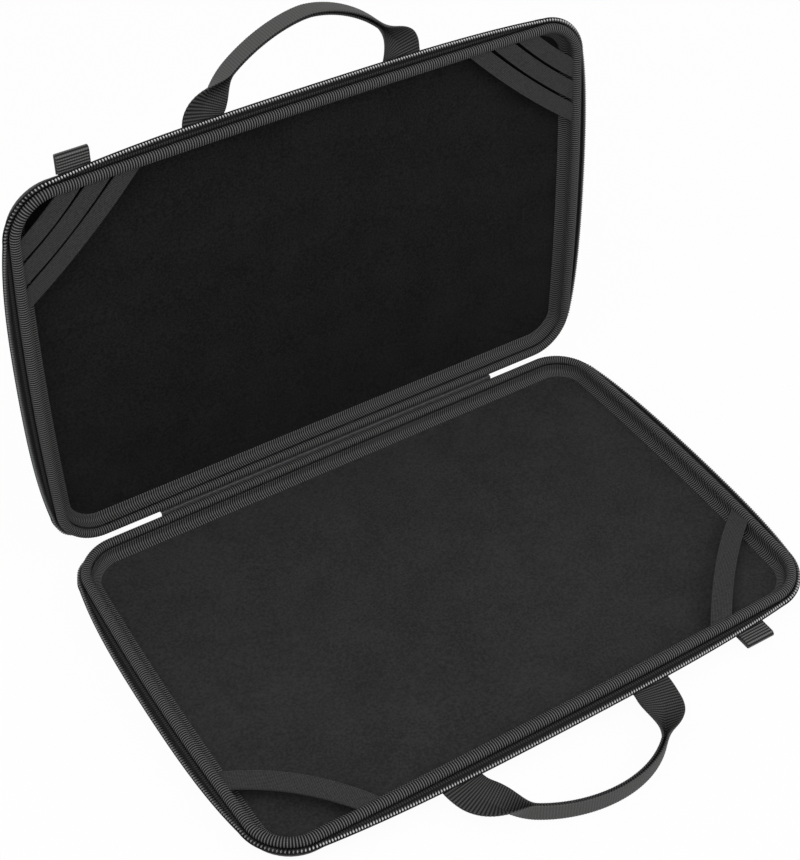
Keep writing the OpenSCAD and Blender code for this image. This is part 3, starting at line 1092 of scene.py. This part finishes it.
@dataclass
class Spine:
    """The cloth that joins the two back walls, modelled in the bent shape it has with the lid open.
    """

    leg: float = 15.0
    thickness: float = 0.6
    margin: float = 0.5
    puckers: float = 0.1
    steps: int = 160

    def section(self) -> np.ndarray:
        """The cloth's outer face from the base's back wall to the lid's, seen from the side.

        Returns:
            Points [y, z] from the hinge line.
        """
        base = np.array([(-0.25, -self.leg), (-0.25, -11.0), (-0.3, -7.6), (0.05, -6.2),
                         (0.45, -5.2), (0.5, -3.6), (0.5, -2.0), (0.48, -1.0)])
        fold = math.radians(-SIZES.open_angle / 2)
        cosine, sine = math.cos(2 * fold), math.sin(2 * fold)
        turned = np.stack([base[:, 0] * cosine + base[:, 1] * sine,
                           base[:, 0] * sine - base[:, 1] * cosine], axis=1)
        return np.concatenate([base, turned[::-1]])

    def flat(self) -> tuple[float, float]:
        """How wide the cloth is cut, and how long from edge to edge, in metres."""
        _, across = along_path(self.section())
        return 2 * (SIZES.spine_half - self.margin) * MM, float(across[-1]) * MM

    def build(self) -> bpy.types.Object:
        """Models the spine cloth.

        Returns:
            The cloth.
        """
        section = self.section()
        _, across = along_path(section)
        half = SIZES.spine_half - self.margin
        x = np.linspace(-half, half, self.steps)
        wave = self.puckers * np.sin(x / 9 + np.sin(x / 23))
        rows, uv = [], []
        for i, (y, z) in enumerate(section):
            loose = 1.0 - abs(i - (len(section) - 1) / 2) / (len(section) / 2)
            rows.append(np.stack([x, SIZES.hinge_y + y + wave * loose,
                                  np.full(len(x), SIZES.half_t + z)], axis=1))
            uv.append(np.stack([x, np.full(len(x), across[i])], axis=1))
        piece = loft("spine_panel_cloth", np.array(rows), np.array(uv))
        outward = sum((face.normal.y - face.normal.z) * face.area
                      for face in piece.data.polygons)
        if outward < 0:
            flip(piece)
        thicken(piece, self.thickness)
        return piece


@dataclass
class Hardware:
    """The small metal pieces of the zip, die-cast with rounded edges.

    Edges sharper than edge_from degrees are rounded, and turns under smooth_to shade smooth.
    """

    edge_r: float = 0.22
    edge_steps: int = 2
    edge_from: float = 40.0
    smooth_to: float = 30.0
    merge: float = 0.01
    rim: float = 0.7
    dish: float = 0.2

    def cast(self, node: str) -> bpy.types.Object:
        """Copies a piece of the construction and dissolves its triangles into plain faces.

        Args:
            node: The CAD node's name.

        Returns:
            The copy.
        """
        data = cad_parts[node].data.copy()
        data.name = f"{node}_casting"
        piece = place_mesh(data)
        with editing(piece):
            bpy.ops.mesh.remove_doubles(threshold=self.merge * MM)
            bpy.ops.mesh.normals_make_consistent(inside=False)
            bpy.ops.mesh.dissolve_limited(angle_limit=math.radians(1))
        return piece

    def round_off(self, piece: bpy.types.Object) -> None:
        """Rounds a casting's edges.

        Args:
            piece: The casting.
        """
        activate(piece)
        bevel = piece.modifiers.new("edges", "BEVEL")
        bevel.width = self.edge_r * MM
        bevel.segments = self.edge_steps
        bevel.limit_method = "ANGLE"
        bevel.angle_limit = math.radians(self.edge_from)
        bpy.ops.object.modifier_apply(modifier=bevel.name)
        bpy.ops.object.shade_smooth_by_angle(angle=math.radians(self.smooth_to))

    def sink_faces(self, piece: bpy.types.Object) -> None:
        """Sinks a panel into a pull's two broad faces, which leaves a raised rim to grip.

        Args:
            piece: The pull.
        """
        with editing(piece):
            bpy.ops.mesh.select_mode(type="FACE")
            bpy.ops.mesh.select_all(action="DESELECT")
            mesh = bmesh.from_edit_mesh(piece.data)
            for face in sorted(mesh.faces, key=lambda face: face.calc_area())[-2:]:
                face.select_set(True)
            bmesh.update_edit_mesh(piece.data)
            bpy.ops.mesh.inset(thickness=self.rim * MM, depth=-self.dish * MM,
                               use_individual=True)
            bpy.ops.mesh.select_mode(type="VERT")

    def build(self, node: str) -> bpy.types.Object:
        """Models one of the pieces.

        Args:
            node: The CAD node's name.

        Returns:
            The piece.
        """
        piece = self.cast(node)
        if node.startswith("pull"):
            self.sink_faces(piece)
        self.round_off(piece)
        return piece


# ---- Finishes ----


def colour(code: str) -> tuple[float, float, float, float]:
    """Turns an sRGB colour to the linear values that shaders take.

    Args:
        code: The colour in hex, such as #1e1e1f.

    Returns:
        Red, green, blue and alpha.
    """
    channels = [int(code[i:i + 2], 16) / 255 for i in (1, 3, 5)]
    linear = [c / 12.92 if c <= 0.04045 else ((c + 0.055) / 1.055) ** 2.4 for c in channels]
    return (*linear, 1.0)


def add_node(tree: bpy.types.NodeTree, kind: str, settings: dict | None = None,
             links: dict | None = None) -> bpy.types.Node:
    """Adds a shader node with its settings and its links.

    Args:
        tree: The material's node tree.
        kind: The node's type, without ShaderNode.
        settings: Attribute or input name, or input number, to its value.
        links: Input name or number to the output that feeds it.

    Returns:
        The node.
    """
    made = tree.nodes.new(f"ShaderNode{kind}")
    for key, value in (settings or {}).items():
        if isinstance(key, str) and hasattr(made, key) and key not in made.inputs:
            setattr(made, key, value)
        else:
            made.inputs[key].default_value = value
    for key, source in (links or {}).items():
        tree.links.new(source, made.inputs[key])
    return made


def ribs_socket(tree: bpy.types.NodeTree, source: bpy.types.NodeSocket, pitch: float,
                shift: float = 0.0) -> bpy.types.NodeSocket:
    """Draws round ribs across a coordinate in millimetres.

    Args:
        tree: The material's node tree.
        source: The coordinate.
        pitch: The distance from rib to rib, in millimetres.
        shift: How far the ribs are moved.

    Returns:
        A value from 0 in the grooves to 1 on the ribs.
    """
    scaled = add_node(tree, "Math", {"operation": "MULTIPLY_ADD", 1: math.pi / pitch, 2: shift},
                      {0: source})
    wave = add_node(tree, "Math", {"operation": "SINE"}, {0: scaled.outputs[0]})
    return add_node(tree, "Math", {"operation": "ABSOLUTE"}, {0: wave.outputs[0]}).outputs[0]


@dataclass(frozen=True)
class Finish:
    """A material, from its name and its common values."""

    name: str
    dark: str
    light: str
    roughness: float
    sheen: float = 0.0
    grain_mm: float = 1.2
    bump: float = 0.3
    ior: float = 1.25

    def start(self) -> tuple[bpy.types.Material, bpy.types.NodeTree, bpy.types.Node]:
        """Makes the material with its shader and its constant values.

        Returns:
            The material, its tree and its shader.
        """
        material = bpy.data.materials.new(self.name)
        material.use_nodes = True
        tree = material.node_tree
        shader = tree.nodes["Principled BSDF"]
        shader.inputs["Roughness"].default_value = self.roughness
        shader.inputs["IOR"].default_value = self.ior
        if self.sheen:
            shader.inputs["Sheen Weight"].default_value = self.sheen
            shader.inputs["Sheen Roughness"].default_value = 0.5
            shader.inputs["Sheen Tint"].default_value = colour(self.light)
        return material, tree, shader

    def finish(self, tree: bpy.types.NodeTree, shader: bpy.types.Node, share: bpy.types.NodeSocket,
               height: bpy.types.NodeSocket, height_mm: float = 0.1) -> None:
        """Mixes the two colours by a pattern and raises it.

        Args:
            tree: The material's tree.
            shader: Its shader.
            share: 0 where the dark colour shows, 1 where the light one does.
            height: The pattern's height, from 0 to 1.
            height_mm: How high 1 is, in millimetres.
        """
        ramp = add_node(tree, "Mix", {"data_type": "RGBA", 6: colour(self.dark),
                                      7: colour(self.light)}, {0: share})
        tree.links.new(ramp.outputs[2], shader.inputs["Base Color"])
        lift = add_node(tree, "Bump", {"Strength": self.bump, "Distance": height_mm * MM},
                        {"Height": height})
        tree.links.new(lift.outputs[0], shader.inputs["Normal"])


@dataclass(frozen=True)
class RibbedTape(Finish):
    """Polyester woven in round cross ribs, with painted shade in the grooves and painted highlights
    on the rib tops, more even on its lower face.
    """

    pitch_mm: float = WEB_PITCH
    thread_mm: float = 0.9
    thread_relief_mm: float = 0.08
    sharpness: float = 2.5
    upper_share: float = 1.0
    lower_least: float = 0.4
    lower_share: float = 0.2

    def make(self) -> bpy.types.Material:
        """Builds the material.

        Returns:
            The material.
        """
        material, tree, shader = self.start()
        uv = add_node(tree, "UVMap", {"uv_map": "UVMap"})
        split = add_node(tree, "SeparateXYZ", links={0: uv.outputs[0]})
        ribs = ribs_socket(tree, split.outputs[0], self.pitch_mm)
        threads = ribs_socket(tree, split.outputs[1], self.thread_mm)
        # Painted highlight on the narrow rib tops, and painted shade in the grooves between them.
        top = add_node(tree, "Math", {"operation": "POWER", 1: self.sharpness}, {0: ribs})
        woven = add_node(tree, "Math", {"operation": "MULTIPLY_ADD", 1: 0.5, 2: 0.5}, {0: threads})
        share = add_node(tree, "Math", {"operation": "MULTIPLY"},
                         {0: top.outputs[0], 1: woven.outputs[0]})
        is_lower = add_node(tree, "Math", {"operation": "LESS_THAN", 1: -FACE_SHIFT / 2},
                            {0: split.outputs[1]})
        lower = add_node(tree, "Math", {"operation": "MULTIPLY_ADD", 1: self.lower_share,
                                        2: self.lower_least}, {0: share.outputs[0]})
        upper = add_node(tree, "Math", {"operation": "MULTIPLY", 1: self.upper_share},
                         {0: share.outputs[0]})
        both = add_node(tree, "Mix", links={0: is_lower.outputs[0], 2: upper.outputs[0],
                                            3: lower.outputs[0]})
        self.finish(tree, shader, both.outputs[0], threads, self.thread_relief_mm)
        return material


class BrushedLining(Finish):
    """Brushed tricot: a short soft nap that looks matt, with faint patches where it was stroked."""

    def make(self) -> bpy.types.Material:
        """Builds the material.

        Returns:
            The material.
        """
        material, tree, shader = self.start()
        place = add_node(tree, "TexCoord")
        patches = add_node(tree, "TexNoise", {"Scale": 1 / (28 * MM), "Detail": 3.0},
                           {"Vector": place.outputs["Object"]})
        nap = add_node(tree, "TexNoise", {"Scale": 1 / (self.grain_mm * MM), "Detail": 2.0},
                       {"Vector": place.outputs["Object"]})
        both = add_node(tree, "Math", {"operation": "MULTIPLY_ADD", 1: 0.4},
                        {0: patches.outputs[0], 2: nap.outputs[0]})
        share = add_node(tree, "MapRange", {"From Min": 0.5, "From Max": 0.9}, {0: both.outputs[0]})
        self.finish(tree, shader, share.outputs[0], nap.outputs[0], 0.15)
        return material


class PlainWeave(Finish):
    """Polyester yarn woven over and under, with the small glints of its round threads."""

    def make(self) -> bpy.types.Material:
        """Builds the material.

        Returns:
            The material.
        """
        material, tree, shader = self.start()
        uv = add_node(tree, "UVMap", {"uv_map": "UVMap"})
        split = add_node(tree, "SeparateXYZ", links={0: uv.outputs[0]})
        warp = ribs_socket(tree, split.outputs[0], self.grain_mm)
        weft = ribs_socket(tree, split.outputs[1], self.grain_mm, math.pi / 4)
        weave = add_node(tree, "Math", {"operation": "MULTIPLY"}, {0: warp, 1: weft})
        specks = add_node(tree, "TexNoise", {"Scale": 1 / (1.1 * MM), "Detail": 2.0},
                          {"Vector": add_node(tree, "TexCoord").outputs["Object"]})
        both = add_node(tree, "Math", {"operation": "MULTIPLY"},
                        {0: weave.outputs[0], 1: specks.outputs[0]})
        share = add_node(tree, "MapRange", {"From Min": 0.05, "From Max": 0.5},
                         {0: both.outputs[0]})
        self.finish(tree, shader, share.outputs[0], weave.outputs[0], 0.12)
        return material


class CoiledNylon(Finish):
    """Black nylon monofilament, with a painted glint: pale on the outer heads of its turns along
    the front and round to the right, where the light catches them.
    """

    def make(self) -> bpy.types.Material:
        """Builds the material.

        Returns:
            The material.
        """
        material, tree, shader = self.start()
        shine = add_node(tree, "Attribute", {"attribute_name": "shine"})
        wear = add_node(tree, "TexNoise", {"Scale": 1 / (self.grain_mm * MM), "Detail": 1.0},
                        {"Vector": add_node(tree, "TexCoord").outputs["Object"]})
        self.finish(tree, shader, shine.outputs["Fac"], wear.outputs[0], 0.02)
        return material


class Enamel(Finish):
    """Stoved enamel on die-cast metal, even but for faint wear."""

    def make(self) -> bpy.types.Material:
        """Builds the material.

        Returns:
            The material.
        """
        material, tree, shader = self.start()
        wear = add_node(tree, "TexNoise", {"Scale": 1 / (self.grain_mm * MM), "Detail": 1.0},
                        {"Vector": add_node(tree, "TexCoord").outputs["Object"]})
        self.finish(tree, shader, wear.outputs[0], wear.outputs[0], 0.02)
        return material


# Cloths and enamel are near black. Yarns are about 0.5 mm wide in such cloths, and their grain is
# drawn coarser, so that it shows. A cloth's IOR is low, because its loose yarns give little gloss.
FINISHES = {
    "shell": PlainWeave("woven_nylon_cover", "#1e1e1f", "#646466", 0.75, sheen=0.1,
                        grain_mm=0.8, bump=0.6),
    "lining": BrushedLining("brushed_tricot_lining", "#222222", "#313131", 0.95, sheen=0.05,
                            grain_mm=1.5, bump=0.5),
    # The lid's lining is the same tricot as the base's in darker colours, which are painted shade.
    "lid_lining": BrushedLining("brushed_tricot_lid_lining", "#0a0a0a", "#1b1b1b", 0.95,
                                grain_mm=1.5, bump=0.8),
    # The ribbed tapes' dark colours are painted shade in their grooves, and their light ones
    # painted highlights on their rib tops.
    "binding": RibbedTape("ribbed_binding_tape", "#070707", "#767676", 0.75, bump=0.4,
                          pitch_mm=RIB_PITCH, sharpness=6.0),
    "seam": RibbedTape("ribbed_seam_tape", "#070707", "#404040", 0.8, bump=0.4,
                       pitch_mm=RIB_PITCH),
    "tape": PlainWeave("woven_zip_tape", "#0b0b0b", "#2a2a2b", 0.8, grain_mm=0.7, bump=0.4),
    # The coil's pale colour is a painted glint on the heads of its teeth.
    "coil": CoiledNylon("nylon_coil", "#232323", "#c8c8c8", 0.35, grain_mm=2.0, bump=0.1,
                        ior=1.5),
    "elastic": PlainWeave("woven_elastic", "#202020", "#4b4b4b", 0.9, sheen=0.05,
                          grain_mm=0.9, bump=0.6),
    "webbing": RibbedTape("polyester_webbing", "#0d0d0d", "#6c6c6b", 0.7, bump=0.5,
                          thread_mm=1.2, upper_share=0.5),
    "tab_webbing": RibbedTape("polyester_tab_webbing", "#0c0c0c", "#6c6c6b", 0.7, bump=0.5,
                              pitch_mm=TAB_PITCH, thread_mm=1.4),
    "metal": Enamel("enamelled_zinc", "#121213", "#1d1d1e", 0.35, grain_mm=3.0, bump=0.05,
                    ior=1.5),
    "foam": BrushedLining("closed_cell_foam", "#38383a", "#4a4a4c", 0.9, grain_mm=0.8),
}


class Wardrobe:
    """Makes each finish once and puts it on pieces."""

    def __init__(self) -> None:
        """Starts with nothing made."""
        self.made: dict[str, bpy.types.Material] = {}

    def dress(self, piece: bpy.types.Object, finish: str) -> None:
        """Puts a finish on a piece.

        Args:
            piece: The piece.
            finish: A key of FINISHES.
        """
        if finish not in self.made:
            self.made[finish] = FINISHES[finish].make()
        piece.data.materials.clear()
        piece.data.materials.append(self.made[finish])


# ---- The studio ----


@dataclass
class Studio:
    """Camera, lamps, world and floor."""

    eye: tuple[float, float, float] = (-0.4531, -0.6613, 0.8861)
    aim_deg: tuple[float, float, float] = (50.353, -0.855, -32.436)
    lens: float = 78.37
    shift: tuple[float, float] = (-0.0191, -0.1342)
    lamp_aim: tuple[float, float, float] = (0.0, 0.05, 0.1)
    world_level: float = 0.6
    floor_side: float = 8.0
    floor_drop: float = 0.0004
    floor_glow: float = 0.96

    def camera(self) -> None:
        """Sets the camera at the viewing angle."""
        data = bpy.data.cameras.new("camera")
        data.lens = self.lens
        data.sensor_width = 36.0
        data.shift_x, data.shift_y = self.shift
        camera = bpy.data.objects.new("camera", data)
        camera.location = self.eye
        camera.rotation_euler = Euler([math.radians(a) for a in self.aim_deg])
        bpy.context.scene.collection.objects.link(camera)
        bpy.context.scene.camera = camera

    def lamp(self, name: str, place: tuple[float, float, float], watts: float, size: float) -> None:
        """Adds a soft box that looks at the case.

        Args:
            name: Its name.
            place: Where it hangs, in metres.
            watts: Its power.
            size: Its side, in metres.
        """
        data = bpy.data.lights.new(name, "AREA")
        data.energy = watts
        data.size = size
        lamp = bpy.data.objects.new(name, data)
        lamp.location = place
        aim = Vector(self.lamp_aim) - Vector(place)
        lamp.rotation_euler = aim.to_track_quat("-Z", "Y").to_euler()
        bpy.context.scene.collection.objects.link(lamp)

    def plain_rays(self, tree: bpy.types.NodeTree) -> bpy.types.NodeSocket:
        """Tells the rays that show the background itself, straight or in gloss and glass.

        Args:
            tree: The world's or the material's node tree.

        Returns:
            1 for such a ray, else 0.
        """
        path = add_node(tree, "LightPath")
        first = add_node(tree, "Math", {"operation": "MAXIMUM"},
                         {0: path.outputs["Is Camera Ray"], 1: path.outputs["Is Glossy Ray"]})
        both = add_node(tree, "Math", {"operation": "MAXIMUM"},
                        {0: first.outputs[0], 1: path.outputs["Is Transmission Ray"]})
        return both.outputs[0]

    def world(self) -> None:
        """Makes a soft even sky that shows as plain white."""
        world = bpy.data.worlds.new("studio")
        bpy.context.scene.world = world
        world.use_nodes = True
        tree = world.node_tree
        strength = add_node(tree, "Mix", {2: self.world_level, 3: 1.0}, {0: self.plain_rays(tree)})
        back = tree.nodes["Background"]
        back.inputs[0].default_value = (1, 1, 1, 1)
        tree.links.new(strength.outputs[0], back.inputs[1])

    def floor(self) -> None:
        """Lays a pale sheet of paper under the case, which shows white and keeps a faint shadow."""
        deselect()
        bpy.ops.mesh.primitive_plane_add(size=self.floor_side, location=(0, 0, -self.floor_drop))
        sheet = bpy.context.object
        sheet.name = "floor"
        material = bpy.data.materials.new("white_paper")
        material.use_nodes = True
        tree = material.node_tree
        paper = tree.nodes["Principled BSDF"]
        paper.inputs["Base Color"].default_value = colour("#e4e4e4")
        paper.inputs["Roughness"].default_value = 0.9
        glow = add_node(tree, "Emission", {"Color": (1, 1, 1, 1), "Strength": 1.0})
        share = add_node(tree, "Math", {"operation": "MULTIPLY", 1: self.floor_glow},
                         {0: self.plain_rays(tree)})
        both = add_node(tree, "MixShader", links={0: share.outputs[0], 1: paper.outputs[0],
                                                  2: glow.outputs[0]})
        tree.links.new(both.outputs[0], tree.nodes["Material Output"].inputs["Surface"])
        sheet.data.materials.append(material)

    def build(self) -> None:
        """Sets up the whole studio."""
        self.camera()
        self.world()
        self.floor()
        self.lamp("key", (-0.7, -0.5, 1.5), 12.0, 1.2)
        self.lamp("fill", (0.9, -0.9, 1.0), 5.0, 1.0)
        bpy.context.scene.view_settings.view_transform = "Standard"


# ---- Assembly ----


class Assembly:
    """Puts the pieces in place, dresses them and ties them to the frame."""

    def __init__(self) -> None:
        """Starts with an empty wardrobe."""
        self.wardrobe = Wardrobe()

    def add(self, piece: bpy.types.Object, half: Half, finish: str, slot: str, body: str,
            *nodes: str) -> None:
        """Finishes one piece.

        Args:
            piece: The piece, as the base has it.
            half: The half that it belongs to.
            finish: A key of FINISHES.
            slot: The name of its material slot; not used.
            body: The CAD body that it rides on.
            nodes: The CAD nodes that it stands for, if any.
        """
        if half is Half.LID:
            piece.data.transform(SIZES.lid_matrix())
            flip(piece)
        self.wardrobe.dress(piece, finish)
        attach(piece, body)
        if nodes:
            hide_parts(*nodes)
        LOG.info("%s: %d faces", piece.name, len(piece.data.polygons))

    def half(self, half: Half) -> None:
        """Builds what both halves have.

        Args:
            half: The half.
        """
        word = half.value
        trays = TrayCloth(half, crown=1.2 if half is Half.LID else 0.0)
        self.add(trays.cover(), half, "shell", "shell_cloth", word, f"{word}_cover")
        # The lid's lining takes the darker copy of the tricot, whose colours are painted shade.
        lining = "lining" if half is Half.BASE else "lid_lining"
        self.add(trays.lining(), half, lining, "lining_cloth", word, f"{word}_lining")
        binding = Binding(half)
        self.add(binding.build(), half, "binding", "binding_cloth", word, f"{word}_binding")
        self.add(binding.seam(), half, "seam", "binding_cloth", word)
        zipper = Zip(half)
        self.add(zipper.tape(), half, "tape", "zip_tape", word, f"{word}_zip_tape")
        self.add(zipper.teeth(), half, "coil", "zip_teeth", word, f"{word}_zip_teeth")

    def build(self) -> None:
        """Builds the case."""
        for half in Half:
            self.half(half)
        places = {Side.LEFT: (127.0, 69.0, 27.0), Side.RIGHT: (121.0, 61.5, 31.0)}
        for side, (front_x, side_y, from_corner) in places.items():
            word = side.name.lower()
            strap = CornerStrap(side, front_x=front_x, side_y=side_y).build()
            self.add(strap, Half.BASE, "elastic", "elastic", "base", f"base_strap_{word}")
            strips = CornerStrips(side, from_corner=from_corner)
            for place in (1, 2, 3):
                self.add(strips.build(place), Half.LID, "elastic", "elastic", "lid",
                         f"lid_strip_{word}_{place}")
        for handle in (Handle(Half.BASE, -8.5, 7.0),
                       Handle(Half.LID, -3.5, 4.0, reach=52.5, fold_from=4.0, fold_to=40.0,
                              straight=1.18)):
            body = f"{handle.half.value}_handle"
            self.add(handle.build(), handle.half, "webbing", "webbing", body, body)
        for tab in (Tab(Half.BASE, 138.0), Tab(Half.LID, -150.0)):
            body = tab.half.value
            self.add(tab.build(), tab.half, "tab_webbing", "webbing", body, f"{body}_tab")
        self.spine()
        hardware = Hardware()
        for side in Side:
            word = side.name.lower()
            for node in (f"slider_{word}", f"pull_{word}", f"zip_stop_{word}"):
                body = "base" if node.startswith("zip_stop") else node
                self.add(hardware.build(node), Half.BASE, "metal", "zip_metal", body, node)
        for node in ("base_core", "lid_core"):
            self.wardrobe.dress(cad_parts[node], "foam")

    def spine(self) -> None:
        """Builds the spine cloth, which bends between the halves."""
        spine = Spine()
        piece = spine.build()
        self.wardrobe.dress(piece, "shell")
        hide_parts("spine_cloth")
        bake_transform(piece)
        spine.flat()
        LOG.info("%s: %d faces", piece.name, len(piece.data.polygons))


def main() -> None:
    """Builds the studio and the case."""
    logging.basicConfig(level=logging.INFO)
    Studio().build()
    Assembly().build()
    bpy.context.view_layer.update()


if __name__ == "__main__":
    main()
